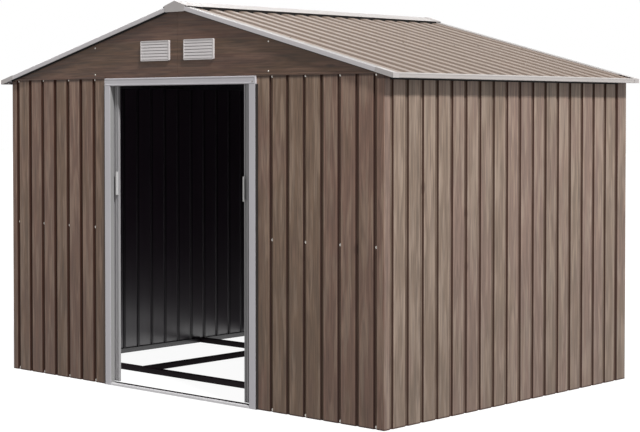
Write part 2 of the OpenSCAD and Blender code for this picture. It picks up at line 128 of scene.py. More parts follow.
class Finish(Board):
    """One surface finish: a material, its shader, and the nodes that feed the shader."""

    def __init__(self, name, **shader):
        self.material = bpy.data.materials.new(name)
        super().__init__(self.material)
        self.shader = self.node("BsdfPrincipled", {}, {
            key.replace("_", " ").title().replace("Ior", "IOR"): value
            for key, value in shader.items()})
        self.node("OutputMaterial", {}, {"Surface": self.shader})

    def wear(self, **inputs):
        """Feeds the shader's own sockets, such as base_color and roughness."""
        self.feed(self.shader.socket.node, {
            key.replace("_", " ").title(): value for key, value in inputs.items()})

    def blend(self, one, two, share):
        """Two colours mixed, with share of the second."""
        return self.node("Mix", {"data_type": "RGBA"}, {"Factor": share, "A": one, "B": two})

    def shade(self, colour, light):
        """A colour made lighter or darker by a factor."""
        return self.node("VectorMath", {"operation": "SCALE"}, {0: colour, "Scale": light})

    def ease(self, value, low, high, start=0.0, end=1.0):
        """Goes smoothly from start to end as value goes from low to high."""
        return self.node("MapRange", {"interpolation_type": "SMOOTHSTEP"},
                         {"Value": value, "From Min": low, "From Max": high,
                          "To Min": start, "To Max": end})

    def at(self, *scale):
        """Places on the piece in its own metres, stretched along each axis."""
        place = self.node("TexCoord").other("Object")
        return self.node("VectorMath", {"operation": "MULTIPLY"}, {0: place, 1: scale})

    def cloud(self, place, detail):
        """Soft noise between 0 and 1 over stretched places."""
        return self.node("TexNoise", {}, {"Vector": place, "Scale": 1.0, "Detail": detail,
                                          "Roughness": 0.5})

    def dent(self, height, depth, strength):
        """Lets a height, times a depth in metres, tilt the surface."""
        self.wear(normal=self.node("Bump", {}, {"Height": height, "Distance": depth,
                                                "Strength": strength}))


def paint(rgb):
    """A colour written as the eye sees it, from 0 to 255, as linear light."""
    return tuple(((c / 255 + 0.055) / 1.055) ** 2.4 for c in rgb)


def zinc_coat(name, dull, bright, roughness):
    """Hot-dip galvanised steel: bright metal broken up by soft crystals."""
    coat = Finish(name, metallic=0.9)
    crystal = coat.node("TexVoronoi", {}, {"Vector": coat.at(1, 1, 1), "Scale": 90.0})
    flake = coat.node("SeparateColor", {}, {"Color": crystal.other("Color")})
    cloud = coat.cloud(coat.at(6, 6, 6), detail=4.0)
    coat.wear(base_color=coat.blend(dull, bright, flake * 0.45 + cloud * 0.55),
              roughness=flake * 0.12 + cloud * 0.14 + (roughness - 0.13))
    coat.dent(cloud, 0.002, 0.2)
    return coat.material


def bent_line(corners, radius, closed):
    """The middle line of a folded sheet, each corner turned to the bend radius."""
    corners = [Vector(corner) for corner in corners]
    last = len(corners) - 1
    steps = 4
    line = []
    for i, at in enumerate(corners):
        if not closed and i in (0, last):
            line.append(at)
            continue
        back = corners[i - 1] - at
        ahead = corners[(i + 1) % len(corners)] - at
        half_turn = (math.pi - back.angle(ahead)) / 2
        reach = min(radius * math.tan(half_turn), back.length / 2, ahead.length / 2)
        middle = (back.normalized() + ahead.normalized()).normalized()
        centre = at + middle * reach / math.sin(half_turn)
        start = at + back.normalized() * reach - centre
        end = at + ahead.normalized() * reach - centre
        for step in range(steps + 1):
            arm = start.lerp(end, step / steps)
            line.append(centre + arm.normalized() * start.length)
    return line


def make_piece(name, shape, finishes):
    """Turns a finished bmesh into a named piece with its finishes, smooth over bends."""
    bmesh.ops.recalc_face_normals(shape, faces=shape.faces)
    mesh = bpy.data.meshes.new(name)
    shape.to_mesh(mesh)
    shape.free()
    for finish in finishes:
        mesh.materials.append(finish)
    mesh.shade_smooth()
    mesh.set_sharp_from_angle(angle=math.radians(35))
    piece = bpy.data.objects.new(name, mesh)
    bpy.context.scene.collection.objects.link(piece)
    flats = piece.modifiers.new("flat_faces", "WEIGHTED_NORMAL")
    flats.keep_sharp = True
    return piece


def fold_into(shape, corners, thickness, bend, reach, place, closed=False):
    """Adds a folded sheet to a bmesh. Its corners are its middle line seen from the
    end, reach is where it starts and ends, and place turns both into real places."""
    line = bent_line(corners, bend, closed)
    count = len(line)
    skins = []
    for i, point in enumerate(line):
        before = line[i - 1] if closed or i else point
        after = line[(i + 1) % count] if closed or i < count - 1 else point
        along = (after - before).normalized()
        side = Vector((along.y, -along.x)) * thickness / 2
        skins.append((point + side, point - side))
    near, far = [[[shape.verts.new(place(p.x, p.y, end)) for p in pair] for pair in skins]
                 for end in reach]
    for i in range(count if closed else count - 1):
        j = (i + 1) % count
        for skin in (0, 1):
            face = shape.faces.new((near[i][skin], near[j][skin], far[j][skin], far[i][skin]))
            face.material_index = skin
        for row in (near, far):
            shape.faces.new((row[i][0], row[j][0], row[j][1], row[i][1]))
    if not closed:
        for i in (0, -1):
            shape.faces.new((near[i][0], near[i][1], far[i][1], far[i][0]))


def folded(name, corners, thickness, bend, reach, place, finishes):
    """One folded sheet as a piece, with a finish for each of its two skins."""
    shape = bmesh.new()
    fold_into(shape, corners, thickness, bend, reach, place)
    return make_piece(name, shape, finishes)


def along_x(depth, height, along):
    return (along, depth, height)


def along_y(across, height, along):
    return (across, along, height)


def along_z(across, depth, along):
    return (across, depth, along)


def fit(piece, body, slot, *nodes):
    """Fixes a piece to its body and hides the nodes that it stands for. The slot is not used."""
    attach(piece, body)
    if nodes:
        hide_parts(*nodes)
    return piece


def softened(node, width, finish, body="shed", slot="galvanised"):
    """A plain node with the small rounding that its folded or moulded edges have."""
    shape = bmesh.new()
    shape.from_mesh(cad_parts[node].data)
    bmesh.ops.remove_doubles(shape, verts=shape.verts, dist=1e-6)
    bmesh.ops.dissolve_limit(shape, angle_limit=math.radians(1),
                             verts=shape.verts, edges=shape.edges)
    sharp = [edge for edge in shape.edges if edge.calc_face_angle(0) > math.radians(30)]
    bmesh.ops.bevel(shape, geom=sharp, offset=width, segments=2, profile=0.5,
                    affect="EDGES", clamp_overlap=True)
    piece = make_piece(node + "_piece", shape, [finish])
    return fit(piece, body, slot, node)


def dark_coat(name, shadow, light, roughness, drained):
    """A thin dark stoved coat on steel, streaked where it was drawn through the bath,
    and glossier towards the foot when it has drained down there."""
    coat = Finish(name, specular_ior_level=0.15, coat_ior=2.1, coat_roughness=0.24)
    streak = coat.cloud(coat.at(30, 30, 1.6), detail=3.0)
    cloud = coat.cloud(coat.at(4, 4, 4), detail=3.0)
    level = coat.node("SeparateXYZ", {}, {"Vector": coat.at(1, 1, 1)}).other("Z")
    coat.wear(base_color=coat.blend(shadow, light, streak * 0.6 + cloud * 0.4),
              roughness=roughness + (cloud - 0.5) * 0.12,
              coat_weight=coat.ease(level, 0.0, 1.3, drained, drained * 0.15))
    coat.dent(cloud, 0.003, 0.15)
    return coat.material


floor_steel = dark_coat("floor_steel", paint((24, 14, 19)), paint((32, 21, 27)), 0.62, 0.0)
rail_steel = zinc_coat("rail_steel", paint((96, 96, 100)), paint((136, 136, 140)), 0.38)
inner_coat = dark_coat("inner_coat", paint((68, 56, 68)), paint((82, 70, 82)), 0.40, 0.90)
# A darker copy of the inner coat: painted shade for the grooves' inner side.
inner_painted_shade = dark_coat("inner_painted_shade", paint((40, 33, 41)), paint((52, 44, 53)), 0.50, 0.30)
rail_coat = dark_coat("rail_coat", paint((48, 41, 48)), paint((60, 53, 60)), 0.45, 0.66)

tube_wall = 0.0015
tube_bend = 0.0025
tube_width = 0.028
joist_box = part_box("floor_joists")
bearer_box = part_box("floor_bearers")
tube_height = joist_box[1].z


def tube_section(across):
    """The middle line of a tube's wall, from its lower left corner on the ground."""
    near, low = across + tube_wall / 2, tube_wall / 2
    far, high = across + tube_width - tube_wall / 2, tube_height - tube_wall / 2
    return [(near, low), (far, low), (far, high), (near, high)]


joists = bmesh.new()
for near_side in (joist_box[0].y, joist_box[1].y - tube_width):
    fold_into(joists, tube_section(near_side), tube_wall, tube_bend,
              (joist_box[0].x, joist_box[1].x), along_x, closed=True)
fit(make_piece("floor_joist_tubes", joists, [floor_steel, floor_steel]),
    "shed", "floor_steel", "floor_joists")

bearers = bmesh.new()
spans = ((joist_box[0].y + tube_width, joist_box[1].y - tube_width),
         (joist_box[1].y, bearer_box[1].y))
for side in (bearer_box[0].x, bearer_box[1].x - tube_width):
    for span in spans:
        fold_into(bearers, tube_section(side), tube_wall, tube_bend, span, along_y,
                  closed=True)
fit(make_piece("floor_bearer_tubes", bearers, [floor_steel, floor_steel]),
    "shed", "floor_steel", "floor_bearers")

rail_edge = 0.0005
softened("floor_rail_front", rail_edge, floor_steel, slot="floor_steel")
for rail in ("floor_rail_back", "floor_rail_left", "floor_rail_right"):
    softened(rail, rail_edge, rail_coat)


# Screws. Every sheet is held by small self-tapping screws with a pressed cross in a
# domed zinc head, each on a soft washer. The bolts of the floor frame are the same
# kind without the washer.

def screw_ring(shape, place, radius, height, turn, cross):
    """One ring of a screw, sunk at four places where the driver's cross is."""
    out = place[1]
    level = out.orthogonal().normalized()
    other = out.cross(level)
    ring = []
    sides = 14
    for i in range(sides):
        angle = math.tau * i / sides + turn
        sunk = cross * max(0.0, math.cos(2 * math.tau * i / sides)) ** 2
        spoke = level * math.cos(angle) + other * math.sin(angle)
        ring.append(shape.verts.new(place[0] + spoke * radius + out * (height - sunk)))
    return ring


def drive_screws(name, spots, finish, washer=True):
    """Screws at many places, each a point on the sheet and the way its head looks."""
    shape = bmesh.new()
    turns = random.Random(name)
    base = 0.0012 if washer else 0.0
    profile = [(0.0040, base, 0), (0.0041, base + 0.0008, 0), (0.0035, base + 0.0018, 0),
               (0.0020, base + 0.0024, 0.0010), (0.0009, base + 0.0025, 0.0016)]
    if washer:
        profile = [(0.0062, 0.0, 0), (0.0062, 0.0008, 0), (0.0056, base, 0)] + profile
    for point, out in spots:
        place = (Vector(point), Vector(out).normalized())
        turn = turns.uniform(0, math.tau)
        rings = [screw_ring(shape, place, radius, height, turn, cross)
                 for radius, height, cross in profile]
        shape.faces.new(rings[0])
        shape.faces.new(rings[-1])
        for low, high in zip(rings, rings[1:]):
            for i, corner in enumerate(low):
                shape.faces.new((low[i - 1], corner, high[i], high[i - 1]))
    fit(make_piece(name, shape, [finish]), "shed", "galvanised")


screw_zinc = zinc_coat("screw_zinc", paint((188, 184, 178)), paint((226, 222, 214)), 0.34)

bolt_in = 0.03
bolt_spots = []
for x in (bearer_box[0].x + tube_width / 2, bearer_box[1].x - tube_width / 2,
          joist_box[0].x + bolt_in, joist_box[1].x - bolt_in):
    for y in (joist_box[0].y + tube_width / 2, joist_box[1].y - tube_width / 2):
        bolt_spots.append(((x, y, tube_height), (0, 0, 1)))
drive_screws("floor_frame_bolts", bolt_spots, screw_zinc, washer=False)


# Walls. Thin steel sheet, printed with a wood grain in boards and pressed into flat
# pans with narrow grooves between them. The inner side has a dark coat, and a folded
# sheet closes each corner.

pitch = 0.105
groove = 0.020
groove_side = 0.004
groove_depth = 0.008
sheet = 0.0012
sheet_bend = 0.0022
wall_boxes = {node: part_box(node) for node in
              ("front_wall_left", "front_wall_right", "left_wall", "right_wall", "back_wall")}
front_low, front_high = wall_boxes["front_wall_left"]
back_low, back_high = wall_boxes["back_wall"]
wall_top = front_high.z

# How far in the painted shade on the grooves' inner side starts: a darker copy of the inner coat.
shade_depth = sheet + 0.001

# A face of a bent sheet looks one way when this much of its direction points there.
facing = 0.7


def wood_print(name, mauve, olive, beige, ink_and_shade, board, figure, line_ink_and_shade=0.0, mark_width=1.0,
               trough_ink_and_shade=0.14):
    """The printed wood: boards side by side, each its own tone, with growth rings cut
    lengthwise, knots, fine streaks and pores. Where it is pressed in, the last three
    arguments say how dark its two lines are, how wide, and how dark it is between; these
    groove marks are dark print in part and painted shade in part. There it also gets a
    painted highlight beside each groove, a band of painted shade at the head, and painted
    shade that darkens it towards the foot. A dark line of painted shade runs along the foot."""
    wood = Finish(name, specular_ior_level=0.3)
    across = wood.node("SeparateXYZ", {}, {"Vector": wood.node("UVMap", {"uv_map": "print"})})
    along = across.other("Y")
    number = across // board
    within = across - number * board
    picks = [wood.node("TexWhiteNoise", {"noise_dimensions": "1D"}, {"W": number + shift})
             for shift in (0.37, 7.61, 19.2)]

    def grain(across_scale, along_scale, detail):
        place = wood.node("CombineXYZ", {}, {
            "X": across * across_scale, "Y": along * along_scale, "Z": number * 3.7})
        return wood.cloud(place, detail)

    drift = grain(9.0, 2.2, 2.0)
    patch = wood.ease(grain(36.0, 3.2, 3.0), 0.32, 0.68)
    streak = wood.ease(grain(100.0, 6.0, 3.0), 0.32, 0.68)
    pores = grain(700.0, 26.0, 2.0)
    heart = board * 0.2 + picks[0] * (board * 0.6)
    bow = (grain(1.0, 1.1, 1.0) - 0.5) * 0.16 + (grain(14.0, 3.0, 2.0) - 0.5) * 0.01
    radius = ((within - heart) ** 2.0 + bow ** 2.0) ** 0.5
    cell = wood.node("CombineXYZ", {}, {"X": across / board, "Y": along * 4.0, "Z": 0.5})
    eye = wood.node("TexVoronoi", {}, {"Vector": cell, "Scale": 1.0})
    chosen = wood.node("SeparateColor", {}, {"Color": eye.other("Color")})
    knot = wood.ease(eye, 0.03, 0.16, 1.0, 0.0) * wood.ease(chosen, 0.14, 0.15, 1.0, 0.0)
    ring_gap = 0.0055
    rings = radius.maths("PINGPONG", radius + streak * 0.0015 + patch * 0.002 + knot * 0.01,
                       ring_gap) / ring_gap

    tone = wood.blend(mauve, olive, wood.ease(drift + picks[1] * 0.5 - 0.25, 0.35, 0.65))
    tone = wood.blend(tone, beige, wood.ease(patch, 0.4, 1.0) * 0.6)
    light = (0.78 + picks[2] * 0.10 + (streak - 0.5) * figure + (patch - 0.5) * 0.17
             + rings * 0.18 - wood.ease(pores, 0.60, 0.72) * 0.12 - knot * 0.45)
    colour = wood.shade(tone, light)
    dullness = 0.46 + (streak - 0.5) * 0.16
    if line_ink_and_shade:
        gap = within.maths("MINIMUM", within, board - within) / mark_width
        plain = ((across + board / 2) // board) % 2.0
        # A painted highlight on the flat beside each groove, where a rounded bend would catch the
        # light.
        painted_lip_highlight = wood.ease(gap, 0.0112, 0.0126) * wood.ease(gap, 0.0150, 0.0215, 1.0, 0.0)
        # The two dark lines and the trough of each groove: dark print in part, painted shade in
        # part.
        line = wood.ease(gap, 0.0046, 0.0060) * wood.ease(gap, 0.0104, 0.0114, 1.0, 0.0)
        trough = wood.ease(gap, 0.0090, 0.0106, 1.0, 0.0)
        # A dark band at the head of the wall, under the roof's edge: painted shade.
        head = wood.ease(along, wall_top - 0.014, wall_top - 0.005) * 0.75
        colour = wood.shade(colour, 1.0 + painted_lip_highlight * 0.16)
        colour = wood.blend(colour, ink_and_shade, trough * (trough_ink_and_shade + plain * 0.22))
        colour = wood.blend(colour, ink_and_shade, line * (line_ink_and_shade - plain * 0.10))
        # Darker towards the foot: painted shade.
        colour = wood.shade(colour, wood.ease(along, -0.1, 1.4, 0.73, 1.0))
        colour = wood.blend(colour, ink_and_shade, head)
        dullness = dullness + trough * 0.30
    # A dark line along the very foot: painted shade where the wall meets the floor.
    colour = wood.blend(colour, ink_and_shade, wood.ease(along, 0.003, 0.009, 0.85, 0.0))
    wood.wear(base_color=colour, roughness=dullness)
    wood.dent(streak * 0.6 + pores * 0.4, 0.00025, 0.5)
    return wood.material


wall_print = wood_print("wall_print", paint((143, 120, 108)), paint((140, 121, 106)),
                        paint((160, 142, 128)), paint((54, 27, 14)), pitch, 0.26, 0.92, 1.20)
# The front walls, doors and front corner faces look away from the main lamp. They take darker,
# warmer copies of the wall print with darker grooves: painted shade. The left front wall's copy
# is darker still.
front_shade_print = wood_print("front_shade_print", paint((137, 108, 94)), paint((133, 109, 91)),
                         paint((157, 135, 118)), paint((40, 13, 1)), pitch, 0.28, 0.96)
left_shade_print = wood_print("left_shade_print", paint((129, 101, 87)), paint((125, 101, 84)),
                        paint((149, 126, 110)), paint((52, 24, 9)), pitch, 0.28, 0.98, 1.18,
                        0.72)


def lay_print(piece, across, along, start=0.0):
    """Lays the printed film on a piece: where each point lies across and along it."""
    layer = piece.data.uv_layers.new(name="print")
    for loop in piece.data.loops:
        point = piece.data.vertices[loop.vertex_index].co
        layer.data[loop.index].uv = (across(point) + start, along(point))


def grooved_line(length, first, count):
    """The middle line of a pressed sheet, its grooves starting at the first."""
    line = [(0, sheet / 2)] if first > groove else []
    for i in range(count):
        middle = first + i * pitch
        line += [(middle - groove / 2, sheet / 2),
                 (middle - groove / 2 + groove_side, sheet / 2 + groove_depth),
                 (middle + groove / 2 - groove_side, sheet / 2 + groove_depth),
                 (middle + groove / 2, sheet / 2)]
    if length - line[-1][0] > sheet:
        line.append((length, sheet / 2))
    return line


def groove_count(length):
    return int((length - groove + sheet) / pitch) + 1


def height(point):
    return point.z


def wall(node, out, run, board_number, print_coat=wall_print):
    """A wall of pressed sheet. out is the way it looks, and run the way it goes."""
    low, high = wall_boxes[node]
    size = high - low
    length = abs(size.dot(run))
    corner = Vector([high[i] if out[i] > 0 or run[i] < 0 else low[i] for i in range(3)])

    def place(across, depth, along):
        return corner + run * across - out * depth + Vector((0, 0, along))

    piece = folded(node + "_sheet", grooved_line(length, groove / 2, groove_count(length)),
                   sheet, sheet_bend, (0, size.z), place, [print_coat, inner_coat, inner_painted_shade])
    for skin in piece.data.polygons:
        if skin.material_index == 1 and (corner - skin.center).dot(out) > shade_depth:
            skin.material_index = 2
    lay_print(piece, lambda point: (point - corner).dot(run) - groove / 2, height,
              board_number * pitch)
    fit(piece, "shed", "wall_sheet", node)


front, back = Vector((0, -1, 0)), Vector((0, 1, 0))
left, right = Vector((-1, 0, 0)), Vector((1, 0, 0))
wall("front_wall_left", front, right, 4, left_shade_print)
wall("front_wall_right", front, left, 22, front_shade_print)
wall("left_wall", left, back, 42)
wall("right_wall", right, back, 60)
wall("back_wall", back, right, 90)

corner_bend = 0.0054

# On the corner sheets the band of painted shade at the head of the print comes a little lower.
print_stretch = 1.008
for node, side, end, board_number, end_print in (
        ("corner_front_left", -1, -1, 130, left_shade_print),
        ("corner_front_right", 1, -1, 132, front_shade_print),
        ("corner_back_left", -1, 1, 134, wall_print),
        ("corner_back_right", 1, 1, 136, wall_print)):
    low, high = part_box(node)
    size = high - low
    edge = Vector((high.x if side > 0 else low.x, high.y if end > 0 else low.y, 0))

    def around(across, depth, along, edge=edge, side=side, end=end):
        return (edge.x - side * across, edge.y - end * depth, along)

    corner_line = [(sheet / 2, size.y), (sheet / 2, sheet / 2), (size.x, sheet / 2)]
    piece = folded(node + "_sheet", corner_line, sheet, corner_bend, (0, size.z), around,
                   [wall_print, inner_coat, end_print])
    # Faces that look to the front or back take the given print; at the front corners that is the
    # front walls' darker copy, painted shade.
    for skin in piece.data.polygons:
        if skin.material_index == 0 and abs(skin.normal.y) > facing:
            skin.material_index = 2
    spread = pitch / (size.x + size.y + groove)
    lay_print(piece, lambda point: spread * (groove / 2 + size.x - abs(point.x - edge.x)
                                             + abs(point.y - edge.y)),
              lambda point: point.z * print_stretch, board_number * pitch)
    fit(piece, "shed", "wall_sheet", node)


# Rails inside the walls. A folded channel stiffens the front walls at mid height, and
# folded angles run along the top of the other walls for the roof to sit on. Screws in
# every second groove hold the front and back walls to them.

thin_edge = 0.0004
for rail in ("front_mid_rails", "top_channel_left", "top_channel_right", "top_channel_back"):
    softened(rail, thin_edge, rail_steel)

mid_low, mid_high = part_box("front_mid_rails")
row_in = 0.004
top_row = wall_top - row_in
mid_row = (mid_low.z + mid_high.z) / 2
bottom_row = 0.010
front_screws = []
for i in range(0, groove_count(front_high.x - front_low.x), 2):
    for side in (-1, 1):
        x = side * (abs(front_low.x) - groove / 2 - i * pitch)
        for z in (top_row, mid_row, bottom_row):
            front_screws.append(((x, front_low.y + groove_depth, z), front))
drive_screws("front_wall_screws", front_screws, screw_zinc)

back_screws = []
for i in range(0, groove_count(back_high.x - back_low.x), 2):
    for z in (top_row, bottom_row):
        back_screws.append(((back_low.x + groove / 2 + i * pitch,
                             back_high.y - groove_depth, z), back))
drive_screws("back_wall_screws", back_screws, screw_zinc)


# Gables. Each is cut from flat sheet in two halves that meet at a fine seam, printed
# with darker wood that runs level, and pierced for two vents. A strip behind closes the
# seam, and a small folded hem along the foot throws the rain clear of the wall below.

gable_print = wood_print("gable_print", paint((98, 73, 62)), paint((96, 74, 59)),
                         paint((112, 88, 75)), paint((34, 19, 13)), 0.074, 0.34)

gable_edge = 0.0003
print_from = 5.0


def from_left(point):
    return point.x + print_from


for node, start in (("front_gable", 3.3), ("back_gable", 9.7)):
    piece = softened(node, gable_edge, gable_print, slot="gable_sheet")
    lay_print(piece, height, from_left, start)

gable_low, gable_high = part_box("front_gable")
back_gable_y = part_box("back_gable")[1].y
gable_screw_x = 0.616
gable_screw_rows = (gable_low.z + 0.021, gable_low.z + 0.157)
gable_screws = []
for face, out in ((gable_low.y, front), (back_gable_y, back)):
    for side in (-1, 1):
        for z in gable_screw_rows:
            gable_screws.append(((side * gable_screw_x, face, z), out))
drive_screws("gable_screws", gable_screws, screw_zinc, washer=False)

hem_proud = 0.0028
hem_height = 0.011
hem_sheet = 0.0008
hem_bend = 0.0012
hem_gap = 0.0006
hem_start = 0.001
header_low, header_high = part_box("door_header")
hems = bmesh.new()
for face, end, inner in ((gable_low.y, -1, header_high.x + hem_start),
                         (back_gable_y, 1, hem_start)):
    out = face + end * (hem_proud - hem_sheet / 2)
    near = face + end * hem_sheet
    line = [(near, gable_low.z + hem_height), (out, gable_low.z + hem_height * 0.75),
            (out, gable_low.z + hem_sheet / 2), (near, gable_low.z + hem_sheet / 2)]
    for side in (-1, 1):
        fold_into(hems, line, hem_sheet, hem_bend,
                  (side * inner, side * (gable_high.x - hem_gap)), along_x)

beam_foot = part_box("ridge_beam")[0].z
hair_gap = 0.0002
seam_half = 0.012
seam_end = 0.004
for node, end in (("front_gable", -1), ("back_gable", 1)):
    low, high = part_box(node)
    inner = (high.y if end < 0 else low.y) - end * (hem_sheet / 2 + hair_gap)
    fold_into(hems, [(-seam_half, inner), (seam_half, inner)], hem_sheet, hem_bend,
              (low.z + seam_end, beam_foot - seam_end), along_z)
piece = make_piece("gable_hems", hems, [gable_print, gable_print])
lay_print(piece, height, from_left, 14.2)
fit(piece, "shed", "gable_sheet")


# Vents. Moulded plastic frames, one over each hole in a gable. Each snaps into its
# hole, and its slanting louvres let air through and shed the rain outwards.

def moulded(name, shadow, light, roughness):
    """Plain moulded plastic with a faint skin texture."""
    plastic = Finish(name)
    cloud = plastic.cloud(plastic.at(9, 9, 9), detail=3.0)
    skin = plastic.cloud(plastic.at(1500, 1500, 1500), detail=1.0)
    plastic.wear(base_color=plastic.blend(shadow, light, cloud),
                 roughness=roughness + cloud * 0.08)
    plastic.dent(skin, 0.0001, 0.3)
    return plastic.material


vent_frame = moulded("vent_frame", paint((206, 200, 199)), paint((218, 213, 212)), 0.42)
# The louvres take a lighter copy of the frame's plastic: painted light, set for how the light
# falls on them.
vent_blade_painted_light = moulded("vent_blade_painted_light", paint((214, 208, 208)), paint((226, 221, 220)), 0.42)
vent_width = 0.207
vent_rim = 0.005
vent_bend = 0.0035
vent_proud = 0.010
vent_blades = 6
blade_thick = 0.0012
blade_out = 0.0088
blade_slant = 0.0014
blade_tuck = 0.003
blade_turn = 0.001
blade_drip = 0.0022
blade_slot = 0.0016

for node, face, end in (("front_vents", gable_low.y, -1), ("back_vents", back_gable_y, 1)):
    low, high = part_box(node)
    inset = vent_rim / 2
    rise = (high.z - low.z - 2 * vent_rim) / vent_blades
    tip = face + end * blade_out
    rear = tip - end * blade_slant
    frames, blades = bmesh.new(), bmesh.new()
    for side in (-1, 1):
        outer = side * (high.x - inset)
        inner = side * (high.x - vent_width + inset)
        fold_into(frames, [(outer, low.z + inset), (inner, low.z + inset),
                           (inner, high.z - inset), (outer, high.z - inset)],
                  vent_rim, vent_bend, (face, face + end * vent_proud),
                  lambda across, up, out: (across, out, up), closed=True)
        for i in range(vent_blades):
            foot = low.z + vent_rim + i * rise
            fold_into(blades, [(rear - end * blade_tuck, foot + rise),
                               (rear, foot + rise - blade_turn),
                               (tip, foot + blade_drip),
                               (rear - end * blade_turn, foot + blade_slot)],
                      blade_thick, blade_thick, (outer - side * inset, inner + side * inset),
                      along_x)
    for part, shape, finish in (("_frame", frames, vent_frame), ("_blades", blades, vent_blade_painted_light)):
        fit(make_piece(node + part, shape, [finish, finish]), "shed", "moulding", node)


# Doorway. Posts, header and sill are folded from painted steel and clip over the cut
# edges of the front walls, with a black strip along each post that is painted shade. A
# rivet shows at one end of the header, and the doors hang in a galvanised track behind it.

def trim_paint(name, shadow, light, roughness):
    """Smooth stoved paint on steel trim, a little uneven."""
    coat = Finish(name)
    cloud = coat.cloud(coat.at(5, 5, 3), detail=4.0)
    peel = coat.cloud(coat.at(420, 420, 420), detail=1.0)
    coat.wear(base_color=coat.blend(shadow, light, cloud),
              roughness=roughness + cloud * 0.10)
    coat.dent(peel, 0.0001, 0.35)
    return coat.material


door_trim = trim_paint("door_trim", paint((192, 189, 193)), paint((205, 202, 206)), 0.34)
# A darker copy of the trim paint for the posts' inner reveals: painted shade.
reveal_shade_trim = trim_paint("reveal_shade_trim", paint((146, 145, 145)), paint((156, 155, 154)), 0.40)
sill_trim = trim_paint("sill_trim", paint((220, 218, 220)), paint((230, 228, 230)), 0.34)
trim_sheet = 0.0015
trim_bend = 0.0028
half_trim = trim_sheet / 2
wall_inner = front_low.y + groove_depth + sheet
rail_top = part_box("floor_rail_front")[1].z
header_short = 0.0065


def upright(side):
    """Places along a post, across from the middle of the doorway towards one side."""
    def place(across, depth, along):
        return (side * across, depth, along)
    return place


for node, side in (("door_post_left", -1), ("door_post_right", 1)):
    low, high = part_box(node)
    inner, outer = sorted((abs(low.x), abs(high.x)))
    face = low.y + half_trim
    flange = [(outer - half_trim, face), (outer - half_trim, front_low.y)]
    post = bmesh.new()
    for reveal_end, span in ((wall_inner, (low.z, rail_top)), (high.y, (rail_top, high.z))):
        fold_into(post, [(inner + half_trim, reveal_end), (inner + half_trim, face)] + flange,
                  trim_sheet, trim_bend, span, upright(side))
    fold_into(post, [(outer - header_short + half_trim, face)] + flange, trim_sheet, trim_bend,
              (high.z, header_high.z), upright(side))
    piece = make_piece(node + "_fold", post, [door_trim, door_trim, reveal_shade_trim])
    # The reveal faces take the darker copy: painted shade.
    for skin in piece.data.polygons:
        if abs(skin.center.x) < inner + trim_sheet and abs(skin.normal.x) > facing:
            skin.material_index = 2
    fit(piece, "shed", "trim", node)

header_bead = 0.006
bead_proud = 0.0015
header_face = header_low.y + half_trim
header_foot = header_low.z + half_trim
header_top = header_high.z - half_trim
header = bmesh.new()
fold_into(header, [(front_low.y, header_foot), (header_face, header_foot),
                   (header_face, header_foot + header_bead),
                   (header_face + bead_proud, header_foot + header_bead + bead_proud),
                   (header_face + bead_proud, header_top - header_bead - bead_proud),
                   (header_face, header_top - header_bead),
                   (header_face, header_top), (gable_low.y, header_top)],
          trim_sheet, trim_bend, (header_low.x + header_short, header_high.x - header_short),
          along_x)
post_inner = abs(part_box("door_post_left")[1].x)
fold_into(header, [(front_low.y, header_foot), (header_high.y, header_foot)],
          trim_sheet, trim_bend, (-post_inner, post_inner), along_x)
fit(make_piece("door_header_fold", header, [door_trim, door_trim]), "shed", "trim", "door_header")
rivet_grey = zinc_coat("rivet_grey", paint((120, 116, 114)), paint((150, 146, 143)), 0.40)
rivet_in = 0.020
rivet_up = 0.010
rivet_spot = (header_high.x - rivet_in, header_face, header_foot + rivet_up)
drive_screws("header_rivets", [(rivet_spot, front)], rivet_grey, washer=False)

sill_low, sill_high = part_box("door_sill")
sill_line = [(sill_low.y + half_trim, 0), (sill_low.y + half_trim, sill_high.z - half_trim),
             (sill_high.y - half_trim, sill_high.z - half_trim), (sill_high.y - half_trim, 0)]
fit(folded("door_sill_fold", sill_line, trim_sheet, trim_bend, (sill_low.x, sill_high.x),
           along_x, [sill_trim, sill_trim]), "shed", "trim", "door_sill")
softened("door_track", thin_edge, rail_steel)

# A black strip along each post's outer edge: a dark thing put there as painted shade.
post_shade_strip = moulded("post_shade_strip", paint((34, 30, 28)), paint((48, 42, 39)), 0.62)
shade_strip_wide = 0.009
shade_strip_thick = 0.0024
shade_strip_bend = 0.002
shade_strip_back = 0.0005
shade_strip_x = header_high.x + shade_strip_thick / 2
shade_strip_y = front_low.y - shade_strip_thick / 2
shade_strips = bmesh.new()
for side in (-1, 1):
    fold_into(shade_strips, [(shade_strip_x, header_low.y + shade_strip_back), (shade_strip_x, shade_strip_y),
                      (header_high.x + shade_strip_wide, shade_strip_y)],
              shade_strip_thick, shade_strip_bend, (0, header_low.z), upright(side))
fit(make_piece("post_shade_strips", shade_strips, [post_shade_strip, post_shade_strip]), "shed", "moulding")


# Doors. Each is a pressed panel in a folded frame. A fluted stile leads, with a
# moulded pull on it, and two plastic sliders hang in the track above.

frame_paint = trim_paint("frame_paint", paint((160, 158, 160)), paint((170, 168, 169)), 0.42)
door_plastic = moulded("door_plastic", paint((200, 198, 197)), paint((214, 212, 211)), 0.36)
frame_edge = 0.0006
handle_edge = 0.0010
hanger_edge = 0.0008

